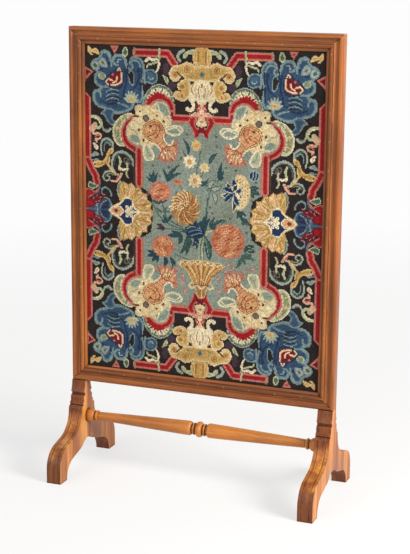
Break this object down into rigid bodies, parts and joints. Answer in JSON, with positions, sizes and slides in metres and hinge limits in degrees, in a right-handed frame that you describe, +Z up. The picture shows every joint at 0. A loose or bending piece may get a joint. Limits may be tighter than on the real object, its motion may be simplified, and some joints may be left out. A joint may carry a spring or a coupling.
{
  "type": "fire screen",
  "caption": "Free-standing fire screen: a moulded wooden frame with a stretched needlework panel on scroll-footed legs joined by a turned stretcher.",
  "frame": {"origin": "on the floor, under the middle of the screen", "axes": "+Z up, +X to the right along the screen's width, +Y to the back; the needlework faces -Y"},
  "size_m": [0.66, 0.31, 1.068],
  "materials": {
    "frame_walnut": "waxed walnut, warm mid brown",
    "slip_walnut": "waxed walnut, mid brown, worn pale on the crest",
    "leg_walnut": "waxed walnut, darker and redder, worn on the scrolls",
    "stretcher_walnut": "polished turned walnut",
    "bead_walnut": "waxed walnut",
    "pegs": "end grain of dark pegs",
    "strainer_pine": "bare softwood, darkened with age",
    "needlework": "wool needlework in tent stitch",
    "backing": "plain woven linen",
    "backing_tacks": "dull brass",
    "tacks": "dark iron",
    "brads": "iron, set below the surface"
  },
  "bodies": {
    "root": {"left_stile": "frame_walnut", "right_stile": "frame_walnut", "top_rail": "frame_walnut", "bottom_rail": "frame_walnut", "frame_pegs": "pegs", "sight_slip_left": "slip_walnut", "sight_slip_right": "slip_walnut", "sight_slip_top": "slip_walnut", "sight_slip_bottom": "slip_walnut", "slip_brads": "brads", "left_leg": "leg_walnut", "right_leg": "leg_walnut", "leg_pegs": "pegs", "stretcher": "stretcher_walnut", "strainer_left": "strainer_pine", "strainer_right": "strainer_pine", "strainer_top": "strainer_pine", "strainer_bottom": "strainer_pine", "strainer_crossbar": "strainer_pine", "strainer_nails": "tacks", "needlework": "needlework", "needlework_tacks": "tacks", "backing_cloth": "backing", "backing_tacks": "backing_tacks", "back_bead_left": "bead_walnut", "back_bead_right": "bead_walnut", "back_bead_top": "bead_walnut", "back_bead_bottom": "bead_walnut", "bead_pins": "brads"}
  },
  "joints": []
}
